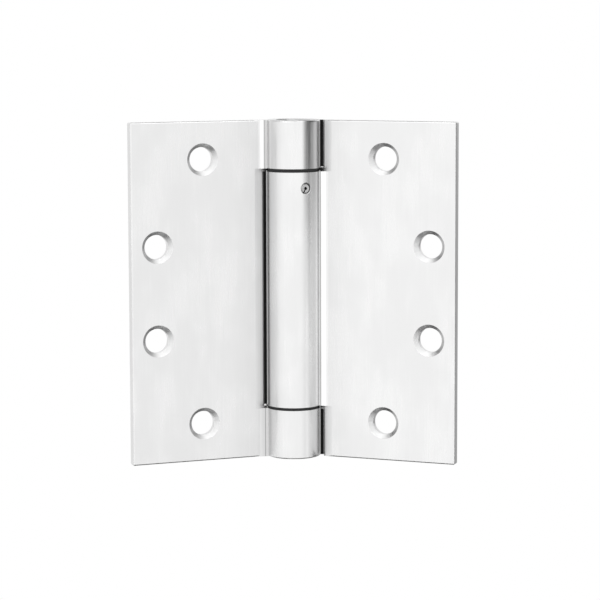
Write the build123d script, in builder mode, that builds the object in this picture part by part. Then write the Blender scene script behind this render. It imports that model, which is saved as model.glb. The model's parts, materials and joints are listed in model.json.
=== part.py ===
from build123d import *
from math import cos, degrees, hypot, radians, sin, sqrt
import os

# A full mortise spring hinge with three knuckles. Sizes are in millimetres and angles in degrees.
# The origin is on the frame leaf's mounting face, midway between its screw holes. The frame leaf
# runs along -X from the pin axis, +Y points into the frame and +Z is up the pin.

# Leaves
leaf_height = 114.3
leaf_reach = 57.15  # pin axis to a leaf's outer edge
leaf_thickness = 3.4
closed_gap = 1.6  # between the leaves' inner faces when the hinge is shut
open_angle = 137.0  # between the leaves as modelled
edge_radius = 0.5
root_radius = 1.6  # where a leaf's back runs into its knuckle
ridge_start = 12.0  # pin axis to where a leaf's inner face starts to rise to its own knuckle
ridge_height = 0.5
seam_width = 0.2  # where the end of the curled sheet meets that ridge
dip_start = 13.5  # pin axis to where the inner face starts to dip to the other leaf's knuckle
dip_depth = 0.6
notch_rounding = 1.3  # inner edge of the notch round that knuckle

# Knuckles
knuckle_bore = 11.4
top_knuckle_height = 16.25
bottom_knuckle_height = 16.6
top_joint_gap = 0.95
bottom_joint_gap = 0.8
swing_clearance = 1.2  # leaf edge to the other leaf's knuckle
facing_clearance = 0.3  # where the knuckle ends are faced back beside the leaf
root_overrun = 0.4  # how far the door leaf's root stands past the faced knuckle ends

# Screw holes
outer_margin = 9.15  # leaf's outer edge to the nearer column of holes
column_spacing = 16.0
inner_spacing = 88.9
outer_spacing = 31.4
screw_hole = 8.2
countersink_diameter = 10.8
countersink_angle = 82.0

# Fits
running_clearance = 0.05
press_clearance = 0.01
end_clearance = 0.2  # end float between pieces that turn against each other

# Bearings, pintle and caps
journal_diameter = 9.2
washer_recess = 0.3  # how far its rim lies inside the knuckles' outer face
washer_bore = 9.8
top_washer_thickness = 0.85
bottom_washer_thickness = 0.75
bottom_bush_length = 11.3
cap_thickness = 2.4
cap_recess = 0.25
cap_chamfer = 0.3

# Winding key
key_flats = 6.35  # across the hexagonal socket
key_depth = 9.0
key_way = 7.8  # hole in the top cap that lets the key through

# Rolled pins
pin_diameter = 3.5
pin_bore = 1.1
pin_slot = 0.4
pin_slot_bearing = 245.0  # round the pin's end from the level line
pin_chamfer = 0.4
pin_recess = 0.3  # below the knuckle's surface
pin_mouth = 4.1  # where the tension pin's hole opens to let the pin be gripped
pin_drop = 5.45  # tension pin below the top of the centre knuckle
pin_bearing = 40.5  # from the door leaf round its inner side to the tension pin
pintle_pin_drop = 8.0  # below the top of the bottom knuckle
pintle_pin_bearing = 80.0  # from +X, on the back of the bottom knuckle
pintle_pin_length = 8.0

# Notches that the tension pin locks
notch_count = 4
notch_play = 15.0
notch_floor = 3.4  # pin axis to the bottom of a notch
notch_clearance = 0.2
notch_land = 1.0  # metal between the notches and the spring's slot

# Torsion spring
wire_width = 1.6  # across the coil's wall
wire_height = 3.0  # along the pin axis
coil_gap = 0.25
coil_inset = 0.25  # from the journals' outside to the coil's outside
coil_seat = 0.1
tang_width = 2.4
tang_length = 2.8
tang_relief = 0.1  # how much thinner a tang is than the wire, on each side
tang_clearance = 0.15
nose_length = 5.0
nose_clearance = 0.25

# Levels, radii and bearings worked out from the sizes above
half_height = leaf_height / 2
top_face = half_height - top_knuckle_height
bottom_face = -half_height + bottom_knuckle_height
centre_top = top_face - top_joint_gap
centre_bottom = bottom_face + bottom_joint_gap
front_face = closed_gap / 2
back_face = front_face + leaf_thickness
ridge_face = front_face - ridge_height
dip_face = front_face + dip_depth
bore_radius = knuckle_bore / 2
knuckle_radius = bore_radius + leaf_thickness
washer_radius = knuckle_radius - washer_recess
notch_radius = knuckle_radius + swing_clearance
facing_radius = knuckle_radius + facing_clearance
outer_column = leaf_reach - outer_margin  # pin axis to a column of screw holes
inner_column = outer_column - column_spacing
press_radius = bore_radius - press_clearance
journal_radius = journal_diameter / 2
bush_radius = journal_radius + running_clearance
pin_radius = pin_diameter / 2
pin_level = centre_top - pin_drop
pintle_pin_level = bottom_face - pintle_pin_drop
pin_reach = knuckle_radius - pin_recess
notch_width = pin_diameter + 2 * notch_clearance
tang_slot_depth = tang_length + tang_clearance
plug_bottom = pin_level - notch_width / 2 - notch_land - tang_slot_depth
plug_top = centre_top - end_clearance
pintle_shoulder = centre_bottom + bottom_bush_length
cap_level = half_height - cap_recess - cap_thickness
neck_top = cap_level - end_clearance
coil_radius = journal_radius - coil_inset - wire_width / 2
coil_bottom = pintle_shoulder + coil_seat + wire_height / 2
coil_top = plug_bottom - coil_seat - wire_height / 2
coil_pitch = wire_height + coil_gap
coil_turn = (coil_top - coil_bottom) / coil_pitch * 360
nose_radius = coil_radius - wire_width / 2 - nose_clearance
tang_bearing = degrees((tang_width / 2 + tang_relief) / coil_radius)

pin_axis = Plane(origin=((inner_column + outer_column) / 2, -back_face, 0))
door_axis = pin_axis.rotated((0, 0, open_angle - 180))


def plate_section(side, slope_start, slope_end, slope_face):
    """A leaf without its knuckles, cut square to the pin axis, on side 1 or -1 of it along X."""
    with BuildSketch() as section:
        Polygon(
            (0, back_face),
            (side * leaf_reach, back_face),
            (side * leaf_reach, front_face),
            (side * slope_start, front_face),
            (side * slope_end, slope_face),
            (0, slope_face),
            align=None,
        )
    return section.sketch


def knuckle_section(side):
    """A leaf with its knuckle, which curls round from the leaf's back to end on the ridge."""
    with BuildSketch() as section:
        ridge_end = sqrt(knuckle_radius**2 - ridge_face**2)
        add(plate_section(side, ridge_start, ridge_end, ridge_face))
        Circle(knuckle_radius)
        root = (side * sqrt(knuckle_radius**2 - back_face**2), back_face)
        fillet(section.vertices().sort_by_distance(root)[0], root_radius)
        Circle(bore_radius, mode=Mode.SUBTRACT)
        with Locations((side * knuckle_radius / 2, ridge_face - seam_width / 2)):
            Rectangle(knuckle_radius + seam_width, seam_width, mode=Mode.SUBTRACT)
    return section.sketch


def is_notch_edge(pin_plane, edge):
    """Whether an edge is on the inner face, along the notch round the other leaf's knuckle."""
    place = pin_plane.to_local_coords(edge.center())
    on_notch = abs(hypot(place.X, place.Y) - notch_radius) < seam_width
    return edge.geom_type == GeomType.LINE and on_notch and place.Y < back_face / 2


def screw_face(pin_plane):
    """A leaf's inner face, with its first direction along the leaf and its second up the pin."""
    face_origin = pin_plane.from_local_coords(Vector(0, front_face, 0))
    return Plane(origin=face_origin, x_dir=pin_plane.x_dir, z_dir=-pin_plane.y_dir)


def make_leaf(pin_plane, side, knuckle_spans, cut_spans, facing_spans):
    """One leaf with its knuckles, cut-outs, rounded edges and countersunk holes."""
    with BuildPart() as leaf:
        with BuildSketch(pin_plane.offset(-half_height)):
            dip_end = sqrt(facing_radius**2 - dip_face**2)
            add(plate_section(side, dip_start, dip_end, dip_face))
        extrude(amount=leaf_height)
        bore_spans = [(-half_height, half_height)]
        for spans, radius in (
            (bore_spans, bore_radius),
            (facing_spans, facing_radius),
            (cut_spans, notch_radius),
        ):
            for low, high in spans:
                with BuildSketch(pin_plane.offset(low)):
                    Circle(radius)
                extrude(amount=high - low, mode=Mode.SUBTRACT)
        for low, high in knuckle_spans:
            with BuildSketch(pin_plane.offset(low)):
                add(knuckle_section(side))
            extrude(amount=high - low)

        leaf_ends = leaf.faces().filter_by(Axis.Z).group_by(Axis.Z)
        end_edges = (leaf_ends[0] + leaf_ends[-1]).edges().filter_by(GeomType.LINE)
        long_edges = end_edges.filter_by(lambda edge: edge.length > dip_start)
        leaf_direction = Axis(pin_plane.origin, pin_plane.x_dir * side)
        outer_edges = leaf.faces().sort_by(leaf_direction)[-1].edges()
        fillet(outer_edges + long_edges, edge_radius)
        notch_edges = leaf.edges().filter_by(lambda edge: is_notch_edge(pin_plane, edge))
        fillet(notch_edges, notch_rounding)

        with Locations(screw_face(pin_plane)):
            for column, spacing in ((inner_column, inner_spacing), (outer_column, outer_spacing)):
                with Locations((side * column, spacing / 2), (side * column, -spacing / 2)):
                    CounterSinkHole(
                        screw_hole / 2,
                        countersink_diameter / 2,
                        counter_sink_angle=countersink_angle,
                    )
    return leaf


def radial_plane(pin_plane, bearing, radius, level):
    """A plane facing away from the pin axis, with its second direction up the pin."""
    outward = Vector(cos(radians(bearing)), sin(radians(bearing)), 0)
    foot = pin_plane.from_local_coords(Vector(0, 0, level))
    place = pin_plane.from_local_coords(outward * radius + Vector(0, 0, level))
    seat = Plane(origin=place, z_dir=place - foot)
    return Plane(origin=place, x_dir=Vector(0, 0, 1).cross(seat.z_dir), z_dir=seat.z_dir)


def make_ring(outer_radius, inner_radius, low, high):
    """A sleeve, bush or washer about the pin axis."""
    with BuildPart() as ring:
        with BuildSketch(pin_axis.offset(low)):
            Circle(outer_radius)
            Circle(inner_radius, mode=Mode.SUBTRACT)
        extrude(amount=high - low)
    return ring


def make_rolled_pin(seat, length):
    """A slotted pin rolled from sheet, with its outer end on the seat plane."""
    with BuildPart() as pin:
        with BuildSketch(seat):
            Circle(pin_radius)
        extrude(amount=-length)
        chamfer(pin.edges().filter_by(GeomType.CIRCLE), pin_chamfer)
        with BuildSketch(seat):
            Circle(pin_bore / 2)
            with PolarLocations(pin_radius, 1, start_angle=pin_slot_bearing):
                Rectangle(pin_diameter, pin_slot)
        extrude(amount=-length, mode=Mode.SUBTRACT)
    return pin


def tang_slot(bearing):
    """The slot across a spring seat that takes one end of the spring."""
    coil_inside = coil_radius - wire_width / 2
    floor_radius = sqrt(coil_inside**2 - (tang_width / 2) ** 2) - tang_clearance
    with BuildSketch() as slot:
        with PolarLocations(bore_radius, 1, start_angle=bearing):
            Rectangle(2 * (bore_radius - floor_radius), tang_width + 2 * tang_clearance)
    return slot.sketch


# The frame half: leaf, top bearing, washers, pintle and caps
pintle_seat = radial_plane(pin_axis, pintle_pin_bearing, knuckle_radius, pintle_pin_level)
frame_leaf = make_leaf(
    pin_axis,
    -1,
    [(-half_height, bottom_face), (top_face, half_height)],
    [(centre_bottom, centre_top)],
    [(bottom_face, top_face)],
)
with frame_leaf:
    with Locations(pintle_seat):
        Hole(pin_radius + press_clearance, depth=leaf_thickness * 1.5)

top_bush = make_ring(press_radius, bush_radius, top_face, neck_top - end_clearance)
top_thrust_washer = make_ring(
    washer_radius, washer_bore / 2, top_face - top_washer_thickness, top_face
)
bottom_thrust_washer = make_ring(
    washer_radius, washer_bore / 2, bottom_face, bottom_face + bottom_washer_thickness
)

with BuildPart() as top_cap:
    with BuildSketch(pin_axis.offset(cap_level)):
        Circle(press_radius)
        Circle(key_way / 2, mode=Mode.SUBTRACT)
    extrude(amount=cap_thickness)
    chamfer(top_cap.faces().sort_by(Axis.Z)[-1].edges(), cap_chamfer)

with BuildPart() as bottom_cap:
    with BuildSketch(pin_axis.offset(-cap_level)):
        Circle(press_radius)
    extrude(amount=-cap_thickness)
    chamfer(bottom_cap.faces().sort_by(Axis.Z)[0].edges(), cap_chamfer)

with BuildPart() as bottom_pintle:
    with BuildSketch(pin_axis.offset(-neck_top)):
        Circle(press_radius)
    extrude(amount=bottom_face + neck_top)
    with BuildSketch(pin_axis.offset(bottom_face)):
        Circle(journal_radius)
    extrude(amount=pintle_shoulder - bottom_face)
    with BuildSketch(pin_axis.offset(pintle_shoulder)):
        add(tang_slot(tang_bearing))
    extrude(amount=-tang_slot_depth, mode=Mode.SUBTRACT)
    with BuildSketch(pin_axis.offset(pintle_shoulder)):
        Circle(nose_radius)
    extrude(amount=nose_length)
    with Locations(pintle_seat):
        Hole(pin_radius + press_clearance, depth=pin_recess + pintle_pin_length)

pintle_pin = make_rolled_pin(pintle_seat.offset(-pin_recess), pintle_pin_length)

# The door half: leaf, bottom bearing, spring and tension pin
tension_seat = radial_plane(door_axis, -pin_bearing, knuckle_radius, pin_level)
door_leaf = make_leaf(
    door_axis,
    1,
    [(centre_bottom, centre_top)],
    [(-half_height, bottom_face - root_overrun), (top_face + root_overrun, half_height)],
    [(-half_height, centre_bottom), (centre_top, half_height)],
)
with door_leaf:
    with Locations(tension_seat):
        CounterSinkHole(
            pin_radius + running_clearance,
            pin_mouth / 2,
            depth=leaf_thickness * 1.5,
            counter_sink_angle=90,
        )

bottom_bush = make_ring(press_radius, bush_radius, centre_bottom, pintle_shoulder)

tension_pin = make_rolled_pin(
    tension_seat.offset(-pin_recess), pin_reach - notch_floor - end_clearance
)

with BuildPart() as adjusting_plug:
    with BuildSketch(pin_axis.offset(plug_bottom)):
        Circle(bore_radius - running_clearance)
    extrude(amount=plug_top - plug_bottom)
    with BuildSketch(pin_axis.offset(plug_top)):
        Circle(journal_radius)
    extrude(amount=neck_top - plug_top)
    with BuildSketch(pin_axis.offset(neck_top)):
        RegularPolygon(key_flats / 2, 6, major_radius=False)
    extrude(amount=-key_depth, mode=Mode.SUBTRACT)
    with BuildSketch(door_axis.offset(pin_level - notch_width / 2)):
        floor_corner = Vector(notch_floor, notch_width / 2)
        rim_corner = Vector(knuckle_radius, notch_width / 2)
        back_floor = Vector(notch_floor, -notch_width / 2).rotate(Axis.Z, -notch_play)
        back_rim = Vector(knuckle_radius, -notch_width / 2).rotate(Axis.Z, -notch_play)
        with PolarLocations(0, notch_count, start_angle=-pin_bearing):
            Polygon(floor_corner, rim_corner, back_rim, back_floor, align=None)
    extrude(amount=notch_width, mode=Mode.SUBTRACT)
    with BuildSketch(pin_axis.offset(plug_bottom)):
        add(tang_slot(coil_turn - tang_bearing))
    extrude(amount=tang_slot_depth, mode=Mode.SUBTRACT)
    with BuildSketch(pin_axis.offset(plug_bottom)):
        Circle(nose_radius)
    extrude(amount=-nose_length)


# The spring is the same from both ends, so its lower half is turned over to make the upper one.
with BuildPart() as torsion_spring:
    with BuildLine(pin_axis) as coil_path:
        Helix(coil_pitch, (coil_top - coil_bottom) / 2, coil_radius, center=(0, 0, coil_bottom))
    coil_line = coil_path.line
    with BuildSketch(Plane(origin=coil_line @ 0, x_dir=pin_axis.x_dir, z_dir=coil_line % 0)):
        Rectangle(wire_width, wire_height)
    sweep(path=coil_line, is_frenet=True)
    with BuildSketch(pin_axis.offset(pintle_shoulder - tang_length)):
        Circle(coil_radius + wire_width / 2 - tang_relief)
        Circle(coil_radius - wire_width / 2 + tang_relief, mode=Mode.SUBTRACT)
        with PolarLocations(coil_radius, 1, start_angle=tang_bearing):
            Rectangle(2 * wire_width, tang_width, mode=Mode.INTERSECT)
    extrude(amount=coil_bottom - pintle_shoulder + tang_length)
    coil_middle = pin_axis.from_local_coords(Vector(0, 0, (coil_top + coil_bottom) / 2))
    turn_over = Axis(coil_middle, coil_line @ 1 - coil_middle)
    add(torsion_spring.part.rotate(turn_over, 180))

pieces = {
    "frame_leaf": frame_leaf,
    "top_cap": top_cap,
    "top_bush": top_bush,
    "top_thrust_washer": top_thrust_washer,
    "bottom_thrust_washer": bottom_thrust_washer,
    "bottom_pintle": bottom_pintle,
    "pintle_pin": pintle_pin,
    "bottom_cap": bottom_cap,
    "door_leaf": door_leaf,
    "bottom_bush": bottom_bush,
    "torsion_spring": torsion_spring,
    "adjusting_plug": adjusting_plug,
    "tension_pin": tension_pin,
}
os.makedirs("parts", exist_ok=True)
for name, piece in pieces.items():
    piece.part.label = name
    export_step(piece.part, f"parts/{name}.step")
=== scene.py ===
import json
import math

import bmesh
import bpy
from mathutils import Matrix, Vector


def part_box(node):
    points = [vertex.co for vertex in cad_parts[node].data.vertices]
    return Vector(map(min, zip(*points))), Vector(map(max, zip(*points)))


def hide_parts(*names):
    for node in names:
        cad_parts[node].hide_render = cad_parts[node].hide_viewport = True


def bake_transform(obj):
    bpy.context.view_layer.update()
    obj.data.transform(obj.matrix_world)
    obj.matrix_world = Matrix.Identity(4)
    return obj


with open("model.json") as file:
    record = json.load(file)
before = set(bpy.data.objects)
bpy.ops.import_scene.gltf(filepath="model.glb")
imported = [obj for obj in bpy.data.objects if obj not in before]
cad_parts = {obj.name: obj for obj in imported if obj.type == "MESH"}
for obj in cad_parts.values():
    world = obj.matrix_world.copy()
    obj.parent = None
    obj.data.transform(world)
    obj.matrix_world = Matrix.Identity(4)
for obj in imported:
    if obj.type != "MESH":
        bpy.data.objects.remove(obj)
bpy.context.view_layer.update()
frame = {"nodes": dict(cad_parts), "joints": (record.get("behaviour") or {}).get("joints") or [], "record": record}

# Lengths are in metres and angles in degrees. A bearing is an angle round the pin axis, to the
# right as the camera looks: from -Y on the hinge, from the camera's side in the studio. A pair of
# limits is a soft step: where it starts and where it is complete. A share is how much of one tone
# covers another.

# Camera, placed about the pin axis
VIEW_AZIMUTH = -21.5  # 0 looks along +Y
CAMERA_DISTANCE = 0.8168  # level distance from the pin axis
CAMERA_HEIGHT = 0.0969  # above the middle of the hinge
CAMERA_PITCH = 7.041  # downwards
CAMERA_TURN = 0.154  # to the right of the pin axis
CAMERA_ROLL = -0.159
CAMERA_LENS_MM = 145.6
SENSOR_MM = 36.0

# Studio
PEAK = 1.4  # above every light level
AROUND = (  # bearing and light level
    (-180, 0.4), (-163, 0.6), (-150, 0.95), (-137, 0.86), (-110, 0.92), (-87, 0.99), (-65, 1.1),
    (-43, 1.19), (-11, 1.2), (6, 1.19), (34, 1.2), (46, 1.05), (53, 0.9), (62, 0.48), (74, 0.12),
    (110, 0.1), (137, 0.4), (150, 0.45), (180, 0.4),
)
UP_AND_DOWN = (  # height of a direction, from straight down to straight up, and light level
    (-1.0, 0.04), (-0.72, 0.05), (-0.5, 0.85), (-0.3, 1.1), (-0.1, 1.04), (0.0, 1.0), (0.5, 1.05),
    (1.0, 1.0),
)
OVERHEAD = (  # bearing and light level in the upper part, wide and light in front, dark behind
    (-180, 0.12), (-115, 0.12), (-80, 1.3), (80, 1.3), (115, 0.12), (180, 0.12),
)
OVERHEAD_HEIGHTS = (0.45, 0.7)  # of a direction
WHITE_BEHIND = (0.5, 0.75)  # reach of a direction away from the camera's side
WHITE_HEIGHTS = (-0.03, 0.04)  # of a direction
LAMPS = (  # name, bearing and elevation, distance, size, radiance
    ("key", -48, 50, 0.9, 0.5, 0.6),
    ("fill", 48, 50, 0.9, 0.5, 0.6),
    ("low_fill", 72, -19, 0.5, 0.3, 0.8),
)

# Stage
FLOOR_DEPTH = 3.0
FLOOR_RADIUS = 0.9
GAP_SHADE_DISTANCE = 10.0  # the pin axis to the dark sheets in the backdrop, which stand in for shade
GAP_SHADE_SHEETS = (  # sides and top of each, as seen at the pin axis
    (-0.0125, -0.0075, 0.048),
    (0.0075, 0.0125, 0.0571),
)

# Metals
CLOUD_SCALES = (90.0, 45.0)  # across the pin and along it
CLOUD_RANGE = (0.3, 0.7)
CLOUD_SHARE = 0.35
TONE_RANGE = (0.3, 0.8)
SCRATCH_STRENGTH = 0.4

# Plastics
MOULD_RANGE = (0.3, 0.7)
MOULD_STRENGTH = 0.5

# Greys of the leaves
# Painted shade: on a leaf's front near the barrel, at its notch and in the valley by its seam
PAINTED_SHADE = 0.3
# Painted highlight on the ridge at a leaf's own knuckle
PAINTED_HIGHLIGHT = 0.93
CUT_METAL_AND_SHADE = 0.5  # countersinks: cut metal, darker, and painted shade
LIT_SIDE_HIGHLIGHT = 0.97  # painted highlight on one side of them
# Dirt in the seams; also the painted dark reflection and painted shade on the knuckle flanks
SEAM_DIRT_AND_SHADE = 0.1
GRIME = 0.01
LIT_SIDE_ROUGHNESS = 0.9  # no grey, but how rough that side is

# Where they lie on a leaf, by distance from the pin axis
LEAF_STARTS = (0.0092, 0.0093)
# Painted shade over the inner part of a leaf's front, near the barrel
INNER_PART_STARTS = (0.012, 0.0125)
INNER_PART_FADES = (0.0125, 0.024)
INNER_PART_SHARE = 0.12
COUNTERSINKS_START = (0.0145, 0.015)
# Painted shade in a margin and at the edge of the notch for the other leaf's knuckle
NOTCH_MARGIN = (0.0104, 0.0135)
NOTCH_MARGIN_SHARE = 0.36
NOTCH_EDGE = (0.0106, 0.0114)
# The ridge with the painted highlight, at a leaf's own knuckle
RIDGE_STARTS = (0.0002, 0.0005)  # beyond the seam
RIDGE_ENDS = (0.0117, 0.0112)
SEAM_REACH = 0.0002  # to either side of it
SEAM_SHARE = 0.6
VALLEY_SHARE = 0.45  # painted shade between the knuckle and the seam

# A leaf's front and its countersinks, by the direction their surfaces face
FRONT = (0.0, -0.3)  # along Y
COUNTERSINK_ANGLE = 82
COUNTERSINK_FACING = math.sin(math.radians(COUNTERSINK_ANGLE / 2))
FACING_REACH = (0.03, 0.02)  # to either side of it
# The side of a countersink with the painted highlight, by the direction its surfaces face
LIT_SIDE_OUTWARD = 0.73
LIT_SIDE_UPWARD = 0.6
LIT_SIDE_FACING = (-0.1, 0.6)

# The same on a knuckle, by bearing: a painted dark reflection in streaks on its right flank and painted shade on
# its far left
KNUCKLE_ENDS = (0.0093, 0.0092)  # distance from the pin axis
FLANK_STARTS = (-3, 9)
FLANK_PALES = (14, 40)
FLANK_DARKENS = (52, 66)
FLANK_ENDS = (80, 95)
FAR_LEFT_STARTS = (-94, -99)
FAR_LEFT_ENDS = (-125, -118)
STREAK_SCALES = (900.0, 40.0)  # across the pin and along it
STREAK_RANGE = (0.35, 0.65)
PALEST_STREAK = 0.75  # of the darkest
GRIME_SHARE = 0.9
GRIME_SOFTNESS = 0.00004

# Spring
SPRING_SPLIT = 0.012  # below the spring's top
SPRING_MARGIN = 0.001

swing = next(joint for joint in frame["joints"] if joint["name"] == "leaf_swing")
pin = Vector(swing["pos_m"])


# Node helpers

def grey(level):
    """A colour that is equally bright in each channel."""
    return (level, level, level)


def feed(tree, socket, value):
    """Links an input to the socket with its value, or sets it to a colour or a number."""
    if isinstance(value, bpy.types.NodeSocket):
        tree.links.new(value, socket)
    elif isinstance(value, tuple):
        socket.default_value = (*value, 1)
    else:
        socket.default_value = value


def new_material(name):
    """An empty node material with its Principled shader, wired to the output."""
    material = bpy.data.materials.new(name)
    material.use_nodes = True
    tree = material.node_tree
    tree.nodes.clear()
    output = tree.nodes.new("ShaderNodeOutputMaterial")
    shader = tree.nodes.new("ShaderNodeBsdfPrincipled")
    tree.links.new(shader.outputs["BSDF"], output.inputs["Surface"])
    return material, tree, shader


def separate(tree, vector):
    """The X, Y and Z of a vector."""
    node = tree.nodes.new("ShaderNodeSeparateXYZ")
    tree.links.new(vector, node.inputs["Vector"])
    return node.outputs


def noise(tree, across, upward, detail):
    """Noise with its grain scaled across the pin and along it."""
    place = tree.nodes.new("ShaderNodeTexCoord")
    mapping = tree.nodes.new("ShaderNodeMapping")
    mapping.inputs["Scale"].default_value = (across, across, upward)
    tree.links.new(place.outputs["Object"], mapping.inputs["Vector"])
    texture = tree.nodes.new("ShaderNodeTexNoise")
    texture.inputs["Scale"].default_value = 1.0
    texture.inputs["Detail"].default_value = detail
    texture.inputs["Roughness"].default_value = 0.6
    tree.links.new(mapping.outputs["Vector"], texture.inputs["Vector"])
    return texture.outputs["Fac"]


def step(tree, value, limits, first=0.0, last=1.0):
    """A smooth change between two numbers while a value goes from one limit to the other."""
    node = tree.nodes.new("ShaderNodeMapRange")
    node.interpolation_type = "SMOOTHSTEP"
    sockets = ("From Min", "From Max", "To Min", "To Max")
    for socket, number in zip(sockets, (*limits, first, last)):
        node.inputs[socket].default_value = number
    tree.links.new(value, node.inputs["Value"])
    return node.outputs["Result"]


def calculate(tree, operation, *values):
    """One operation on values that are sockets or numbers."""
    node = tree.nodes.new("ShaderNodeMath")
    node.operation = operation
    for socket, value in zip(node.inputs, values):
        feed(tree, socket, value)
    return node.outputs["Value"]


def product(tree, first, *others):
    """Values multiplied together."""
    for other in others:
        first = calculate(tree, "MULTIPLY", first, other)
    return first


def mix(tree, kind, factor, first, second):
    """A float or a colour between two, by a factor from 0 to 1."""
    node = tree.nodes.new("ShaderNodeMix")
    node.data_type = kind
    tree.links.new(factor, node.inputs["Factor"])
    feed(tree, node.inputs["A"], first)
    feed(tree, node.inputs["B"], second)
    return node.outputs["Result"]


def towards(tree, vector, direction):
    """How far a vector reaches in a direction."""
    node = tree.nodes.new("ShaderNodeVectorMath")
    node.operation = "DOT_PRODUCT"
    tree.links.new(vector, node.inputs[0])
    node.inputs[1].default_value = direction
    return node.outputs["Value"]


def bearing_of(tree, x, y):
    """The bearing of a direction with this X and Y, counted from -Y."""
    turn = calculate(tree, "ARCTAN2", x, calculate(tree, "MULTIPLY", y, -1.0))
    return calculate(tree, "DEGREES", turn)


def bump(tree, shader, height, strength, depth):
    """Raises a shader's surface by a height."""
    node = tree.nodes.new("ShaderNodeBump")
    node.inputs["Strength"].default_value = strength
    node.inputs["Distance"].default_value = depth
    tree.links.new(height, node.inputs["Height"])
    tree.links.new(node.outputs["Normal"], shader.inputs["Normal"])


def ramp(tree, value, low, high, stops):
    """A light level that follows a value through its stops."""
    scaled = tree.nodes.new("ShaderNodeMapRange")
    scaled.inputs["From Min"].default_value = low
    scaled.inputs["From Max"].default_value = high
    tree.links.new(value, scaled.inputs["Value"])
    node = tree.nodes.new("ShaderNodeValToRGB")
    node.color_ramp.interpolation = "EASE"
    while len(node.color_ramp.elements) < len(stops):
        node.color_ramp.elements.new(0.5)
    for element, (position, level) in zip(node.color_ramp.elements, stops):
        element.position = (position - low) / (high - low)
        element.color = (*grey(level / PEAK), 1)
    tree.links.new(scaled.outputs["Result"], node.inputs["Fac"])
    return calculate(tree, "MULTIPLY", node.outputs["Color"], PEAK)


# Finishes

def metal(name, dark, light, smoothest, roughest, across, upward, scratch_depth, grain=0.0):
    """Bare or plated metal: streaks along its grain, clouded roughness and fine scratches."""
    material, tree, shader = new_material(name)
    streaks = noise(tree, across, upward, 3.0)
    clouds = step(tree, noise(tree, *CLOUD_SCALES, 2.0), CLOUD_RANGE, 0.0, CLOUD_SHARE)
    tone = calculate(tree, "MULTIPLY_ADD", streaks, 1.0 - CLOUD_SHARE, clouds)
    colour = mix(tree, "RGBA", step(tree, tone, TONE_RANGE), dark, light)
    roughness = step(tree, tone, TONE_RANGE, roughest, smoothest)
    feed(tree, shader.inputs["Base Color"], colour)
    feed(tree, shader.inputs["Roughness"], roughness)
    bump(tree, shader, streaks, SCRATCH_STRENGTH, scratch_depth)
    shader.inputs["Metallic"].default_value = 1.0
    shader.inputs["Anisotropic"].default_value = grain
    if grain:
        upwards = tree.nodes.new("ShaderNodeCombineXYZ")
        upwards.inputs["Z"].default_value = 1.0
        tree.links.new(upwards.outputs["Vector"], shader.inputs["Tangent"])
    return material, tree, shader, colour, roughness


def polymer(name, dark, light, smoothest, roughest, speckle, depth):
    """Moulded plastic with a fine moulded grain."""
    material, tree, shader = new_material(name)
    grain = noise(tree, speckle, speckle, 2.0)
    feed(tree, shader.inputs["Base Color"], mix(tree, "RGBA", grain, dark, light))
    feed(tree, shader.inputs["Roughness"], step(tree, grain, MOULD_RANGE, smoothest, roughest))
    bump(tree, shader, grain, MOULD_STRENGTH, depth)
    return material


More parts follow.
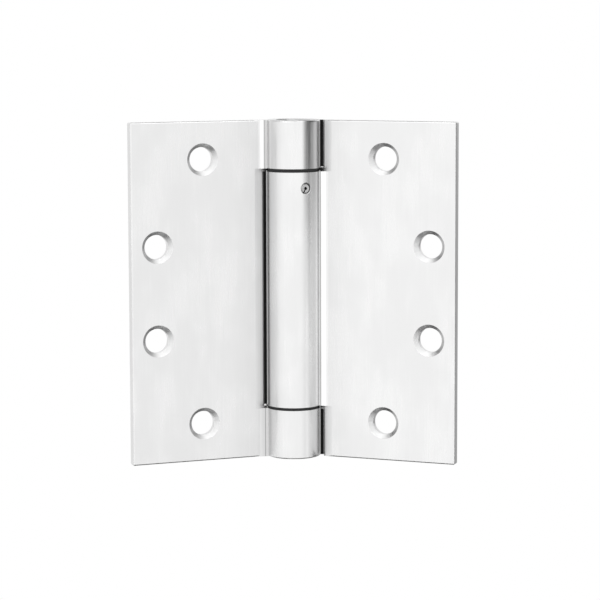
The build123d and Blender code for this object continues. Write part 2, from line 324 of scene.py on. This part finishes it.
def leaf_steel(
    name,
    outward,  # along the leaf
    own_heights,  # where its own knuckle's ridge has its painted highlight
    seam,
    streaks,  # share of the painted dark reflection in streaks, then what is left of it where they pale
    pale_streaks,
    streaked_heights,
    joint_lines,  # lowest and highest of the grime at either end of the middle knuckle
    # share of painted shade at the notch's edge
    notch_edge_share,
    far_left_share,
):
    """Satin steel in the tones of a leaf, with painted light and shade: a painted highlight on the ridge
    at its own knuckle, painted shade near the barrel, beside its seam and in a margin at its notch for
    the other leaf's, darker countersinks of cut metal with painted shade and a painted highlight on one
    side, a painted dark reflection in streaks and painted shade on the knuckle flanks, and dirt in its seams."""
    material, tree, shader, colour, roughness = metal(name, **SATIN_STEEL)
    place = tree.nodes.new("ShaderNodeTexCoord")
    normal = place.outputs["Normal"]
    x, y, height = separate(tree, place.outputs["Object"])
    across = calculate(tree, "SUBTRACT", x, pin.x)
    inward = calculate(tree, "SUBTRACT", y, pin.y)
    squares = [calculate(tree, "POWER", length, 2.0) for length in (across, inward)]
    distance = calculate(tree, "SQRT", calculate(tree, "ADD", *squares))
    bearing = bearing_of(tree, across, inward)

    def at(*limits, first=0.0, last=1.0):
        """A step by distance from the pin axis."""
        return step(tree, distance, limits, first, last)

    front = step(tree, separate(tree, normal)["Y"], FRONT)
    own = product(tree, front, *(step(tree, height, limits) for limits in own_heights))
    other = calculate(tree, "SUBTRACT", front, own)
    leaf = at(*LEAF_STARTS)
    knuckle = at(*KNUCKLE_ENDS)

    # painted shade on the leaf's front near the barrel
    inner_part = product(
        tree,
        front,
        at(*INNER_PART_FADES, first=INNER_PART_SHARE, last=0.0),
        at(*INNER_PART_STARTS),
    )
    # painted highlight along the ridge at the leaf's own knuckle
    ridge_starts = [seam + beyond for beyond in RIDGE_STARTS]
    ridge = product(tree, own, at(*ridge_starts), at(*RIDGE_ENDS))

    leaf_front = outward.cross(Vector((0, 0, 1)))
    slope = calculate(tree, "ABSOLUTE", towards(tree, normal, leaf_front))
    # darker countersinks: cut metal, with painted shade in the recess
    countersinks = product(
        tree,
        step(tree, slope, [COUNTERSINK_FACING - reach for reach in FACING_REACH]),
        step(tree, slope, [COUNTERSINK_FACING + reach for reach in FACING_REACH]),
        at(*COUNTERSINKS_START),
    )
    # painted highlight on the side of the countersinks whose surfaces face outward and upward
    lit_direction = LIT_SIDE_OUTWARD * outward + Vector((0, 0, LIT_SIDE_UPWARD))
    lit_side = product(tree, countersinks, step(tree, towards(tree, normal, lit_direction), LIT_SIDE_FACING))

    # painted shade in the margin at the notch for the other leaf's knuckle, and in the valley between its own
    # knuckle and the seam
    notch = calculate(
        tree,
        "MAXIMUM",
        at(*NOTCH_MARGIN, first=NOTCH_MARGIN_SHARE, last=0.0),
        at(*NOTCH_EDGE, first=notch_edge_share, last=0.0),
    )
    valley = at(seam, seam - SEAM_REACH, last=VALLEY_SHARE)
    notch_and_valley_shade = calculate(
        tree, "ADD", product(tree, other, leaf, notch), product(tree, own, leaf, valley)
    )
    seam_line = product(
        tree,
        front,
        at(seam - SEAM_REACH, seam - SEAM_REACH / 2),
        at(seam + SEAM_REACH, seam, last=SEAM_SHARE),
    )

    # painted dark reflection in streaks on the knuckle's right flank
    flank = product(
        tree,
        step(tree, bearing, FLANK_STARTS),
        calculate(
            tree,
            "MAXIMUM",
            step(tree, bearing, FLANK_PALES, 1.0, pale_streaks),
            step(tree, bearing, FLANK_DARKENS),
        ),
        step(tree, bearing, FLANK_ENDS, 1.0, 0.0),
    )
    depth = step(
        tree, noise(tree, *STREAK_SCALES, 2.0), STREAK_RANGE, PALEST_STREAK * streaks, streaks
    )
    flank_reflection = product(tree, flank, depth, knuckle, step(tree, height, streaked_heights))
    # painted shade on the knuckle's far left flank
    far_left_shade = product(
        tree,
        knuckle,
        step(tree, bearing, FAR_LEFT_STARTS, 0.0, far_left_share),
        step(tree, bearing, FAR_LEFT_ENDS),
    )
    bands = [
        product(
            tree,
            step(tree, height, (low - GRIME_SOFTNESS, low + GRIME_SOFTNESS), 0.0, GRIME_SHARE),
            step(tree, height, (high + GRIME_SOFTNESS, high - GRIME_SOFTNESS)),
        )
        for low, high in joint_lines
    ]
    grime = product(tree, knuckle, calculate(tree, "MAXIMUM", *bands))

    for share, level in (
        (inner_part, PAINTED_SHADE),
        (ridge, PAINTED_HIGHLIGHT),
        (countersinks, CUT_METAL_AND_SHADE),
        (lit_side, LIT_SIDE_HIGHLIGHT),
        (notch_and_valley_shade, PAINTED_SHADE),
        (seam_line, SEAM_DIRT_AND_SHADE),
        (flank_reflection, SEAM_DIRT_AND_SHADE),
        (far_left_shade, SEAM_DIRT_AND_SHADE),
        (grime, GRIME),
    ):
        colour = mix(tree, "RGBA", share, colour, grey(level))
    feed(tree, shader.inputs["Base Color"], colour)
    feed(tree, shader.inputs["Roughness"], mix(tree, "FLOAT", lit_side, roughness, LIT_SIDE_ROUGHNESS))
    return material


SATIN_STEEL = {
    "dark": grey(0.74),
    "light": grey(0.77),
    "smoothest": 0.26,
    "roughest": 0.32,
    "across": 4200.0,
    "upward": 60.0,
    "scratch_depth": 2e-6,
    "grain": 0.5,
}
DOOR_LEAF_TURN = math.radians(-43)
LEAF_FINISHES = {
    "frame_leaf": leaf_steel(
        "frame_leaf_finish",
        outward=Vector((-1, 0, 0)),
        own_heights=((0.0404, 0.0407),),
        seam=0.0102,
        streaks=0.78,
        pale_streaks=0.0,
        streaked_heights=(0.0404, 0.0407),
        joint_lines=((0.0408, 0.04102), (-0.04065, -0.0405)),
        notch_edge_share=0.36,
        far_left_share=0.0,
    ),
    "door_leaf": leaf_steel(
        "door_leaf_finish",
        outward=Vector((math.cos(DOOR_LEAF_TURN), math.sin(DOOR_LEAF_TURN), 0)),
        own_heights=((0.0401, 0.0397), (-0.0401, -0.0397)),
        seam=0.0097,
        streaks=0.35,
        pale_streaks=1.0,
        streaked_heights=(0.005, 0.04),
        joint_lines=((0.03983, 0.04), (-0.0398, -0.03965)),
        notch_edge_share=1.2,
        far_left_share=0.25,
    ),
}
METALS = {  # dark and light colour, roughness from and to, grain across and along, scratch depth
    "turned_steel": (grey(0.56), grey(0.66), 0.22, 0.34, 700.0, 9000.0, 4e-6),
    "pin_steel": (grey(0.44), grey(0.58), 0.30, 0.45, 3000.0, 3000.0, 8e-6),
    "spring_steel": ((0.24, 0.24, 0.25), (0.34, 0.34, 0.35), 0.28, 0.42, 2500.0, 2500.0, 6e-6),
    "bush_bronze": ((0.52, 0.36, 0.19), (0.66, 0.47, 0.26), 0.38, 0.52, 3500.0, 3500.0, 1e-5),
}
FINISHES = {"satin_steel": metal("satin_steel_finish", **SATIN_STEEL)[0]}
for slot_name, values in METALS.items():
    FINISHES[slot_name] = metal(f"{slot_name}_finish", *values)[0]
FINISHES["black_polymer"] = polymer(
    "black_polymer_finish", grey(0.008), grey(0.02), 0.6, 0.75, 6000.0, 1e-5
)
slot_of_node = {part["node"]: part["material_slot"] for part in frame["record"]["subparts"]}


def finish_nodes():
    """Gives each carried-over piece the finish of its slot."""
    for name, piece in frame["nodes"].items():
        for slot in piece.material_slots:
            slot.material = LEAF_FINISHES.get(name) or FINISHES[slot_of_node[name]]


# Spring

def spring_part(name, bottom, top):
    """The stretch of the spring between two heights, with its cut ends closed."""
    part = bpy.data.objects.new(name, frame["nodes"]["torsion_spring"].data.copy())
    bpy.context.scene.collection.objects.link(part)
    mesh = bmesh.new()
    mesh.from_mesh(part.data)
    for height, facing in ((bottom, -1.0), (top, 1.0)):
        cut = bmesh.ops.bisect_plane(
            mesh,
            geom=mesh.verts[:] + mesh.edges[:] + mesh.faces[:],
            plane_co=(0.0, 0.0, height),
            plane_no=(0.0, 0.0, facing),
            clear_outer=True,
        )
        open_edges = [item for item in cut["geom_cut"] if isinstance(item, bmesh.types.BMEdge)]
        bmesh.ops.holes_fill(mesh, edges=open_edges, sides=0)
    mesh.to_mesh(part.data)
    mesh.free()
    return part


def wind_spring():
    """Cuts the spring in two near its top, into its coils and its end coils, and hides the whole spring. In the
    hinge the coils twist as the leaf swings and the end coils as the plug turns.
    """
    low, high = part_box("torsion_spring")
    split = high.z - SPRING_SPLIT
    coils = spring_part("torsion_spring_coils", low.z - SPRING_MARGIN, split)
    end_coils = spring_part("torsion_spring_end_coils", split, high.z + SPRING_MARGIN)
    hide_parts("torsion_spring")
    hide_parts("torsion_spring")
    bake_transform(coils)
    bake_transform(end_coils)


# Stage and light

def make_world():
    """A studio for the light, with its right side, its floor and its rear darker. It is white
    where the camera looks, and where a surface mirrors what is level with it or above, behind."""
    world = bpy.data.worlds.new("studio")
    bpy.context.scene.world = world
    world.use_nodes = True
    tree = world.node_tree
    tree.nodes.clear()
    place = tree.nodes.new("ShaderNodeTexCoord")
    turn = tree.nodes.new("ShaderNodeVectorRotate")
    turn.rotation_type = "Z_AXIS"
    turn.inputs["Angle"].default_value = math.radians(-VIEW_AZIMUTH)
    tree.links.new(place.outputs["Generated"], turn.inputs["Vector"])
    rightward, away, height = separate(tree, turn.outputs["Vector"])
    bearing = bearing_of(tree, rightward, away)

    sides = product(
        tree, ramp(tree, bearing, -180, 180, AROUND), ramp(tree, height, -1, 1, UP_AND_DOWN)
    )
    overhead = ramp(tree, bearing, -180, 180, OVERHEAD)
    level = mix(tree, "FLOAT", step(tree, height, OVERHEAD_HEIGHTS), sides, overhead)
    studio = tree.nodes.new("ShaderNodeBackground")
    tree.links.new(level, studio.inputs["Color"])
    white = tree.nodes.new("ShaderNodeBackground")
    white.inputs["Color"].default_value = (*grey(1), 1)

    path = tree.nodes.new("ShaderNodeLightPath")
    mirrored = product(
        tree,
        path.outputs["Is Glossy Ray"],
        step(tree, away, WHITE_BEHIND),
        step(tree, height, WHITE_HEIGHTS),
    )
    seen = calculate(tree, "MAXIMUM", path.outputs["Is Camera Ray"], mirrored)
    seen = calculate(tree, "MAXIMUM", seen, path.outputs["Is Transmission Ray"])
    either = tree.nodes.new("ShaderNodeMixShader")
    tree.links.new(seen, either.inputs["Fac"])
    tree.links.new(studio.outputs["Background"], either.inputs[1])
    tree.links.new(white.outputs["Background"], either.inputs[2])
    output = tree.nodes.new("ShaderNodeOutputWorld")
    tree.links.new(either.outputs["Shader"], output.inputs["Surface"])


def make_floor():
    """A pale floor far below: the photograph shows neither ground nor shadow under the hinge."""
    bpy.ops.mesh.primitive_circle_add(
        vertices=96, radius=FLOOR_RADIUS, fill_type="NGON", location=(pin.x, pin.y, -FLOOR_DEPTH)
    )
    floor = bpy.context.object
    floor.name = "floor"
    material, tree, shader = new_material("floor_finish")
    shader.inputs["Base Color"].default_value = (*grey(0.8), 1)
    shader.inputs["Roughness"].default_value = 0.9
    white = tree.nodes.new("ShaderNodeEmission")
    path = tree.nodes.new("ShaderNodeLightPath")
    either = tree.nodes.new("ShaderNodeMixShader")
    tree.links.new(path.outputs["Is Camera Ray"], either.inputs["Fac"])
    tree.links.new(shader.outputs["BSDF"], either.inputs[1])
    tree.links.new(white.outputs["Emission"], either.inputs[2])
    output = next(node for node in tree.nodes if node.type == "OUTPUT_MATERIAL")
    tree.links.new(either.outputs["Shader"], output.inputs["Surface"])
    floor.data.materials.append(material)


def make_gap_shade_sheets():
    """Two dark sheets in the backdrop that stand in for shade, seen in the gaps between the knuckles and the
    leaves.
    """
    eye = bpy.context.scene.camera.matrix_world.translation
    forward = Vector((pin.x - eye.x, pin.y - eye.y, 0)).normalized()
    rightward = Vector((forward.y, -forward.x, 0))
    widening = (CAMERA_DISTANCE + GAP_SHADE_DISTANCE) / CAMERA_DISTANCE
    corners = []
    for left, right, top in GAP_SHADE_SHEETS:
        for sideways, height in ((left, -top), (right, -top), (right, top), (left, top)):
            seen = Vector((pin.x, pin.y, height)) + rightward * sideways
            corners.append(eye + (seen - eye) * widening)
    mesh = bpy.data.meshes.new("gap_shade_sheets")
    mesh.from_pydata(corners, [], [(0, 1, 2, 3), (4, 5, 6, 7)])
    # dark sheets that stand in for the shade seen through the gaps
    slots = bpy.data.objects.new("gap_shade_sheets", mesh)
    bpy.context.scene.collection.objects.link(slots)
    material, _, shader = new_material("gap_shade_sheet_finish")
    shader.inputs["Base Color"].default_value = (*grey(0.01), 1)
    shader.inputs["Specular IOR Level"].default_value = 0.0
    mesh.materials.append(material)


def make_lamp(name, bearing, elevation, distance, size, radiance):
    """A soft square lamp that looks at the middle of the hinge."""
    data = bpy.data.lights.new(name, "AREA")
    data.shape = "SQUARE"
    data.size = size
    data.energy = radiance * math.pi * size * size
    lamp = bpy.data.objects.new(name, data)
    bpy.context.scene.collection.objects.link(lamp)
    turn = math.radians(VIEW_AZIMUTH + bearing)
    level = distance * math.cos(math.radians(elevation))
    rise = distance * math.sin(math.radians(elevation))
    offset = Vector((level * math.sin(turn), -level * math.cos(turn), rise))
    lamp.location = pin + offset
    lamp.rotation_euler = offset.to_track_quat("Z", "Y").to_euler()


def make_camera():
    """The camera stands at the photograph's viewing angle."""
    data = bpy.data.cameras.new("camera")
    data.lens = CAMERA_LENS_MM
    data.sensor_width = SENSOR_MM
    camera = bpy.data.objects.new("camera", data)
    bpy.context.scene.collection.objects.link(camera)
    azimuth = math.radians(VIEW_AZIMUTH)
    place = Vector(
        (
            pin.x + CAMERA_DISTANCE * math.sin(azimuth),
            pin.y - CAMERA_DISTANCE * math.cos(azimuth),
            CAMERA_HEIGHT,
        )
    )
    camera.matrix_world = (
        Matrix.Translation(place)
        @ Matrix.Rotation(math.radians(VIEW_AZIMUTH - CAMERA_TURN), 4, "Z")
        @ Matrix.Rotation(math.radians(90 - CAMERA_PITCH), 4, "X")
        @ Matrix.Rotation(math.radians(CAMERA_ROLL), 4, "Z")
    )
    bpy.context.scene.camera = camera


make_camera()
make_world()
make_floor()
make_gap_shade_sheets()
for lamp_values in LAMPS:
    make_lamp(*lamp_values)
finish_nodes()
wind_spring()

bpy.context.scene.view_settings.view_transform = "Standard"
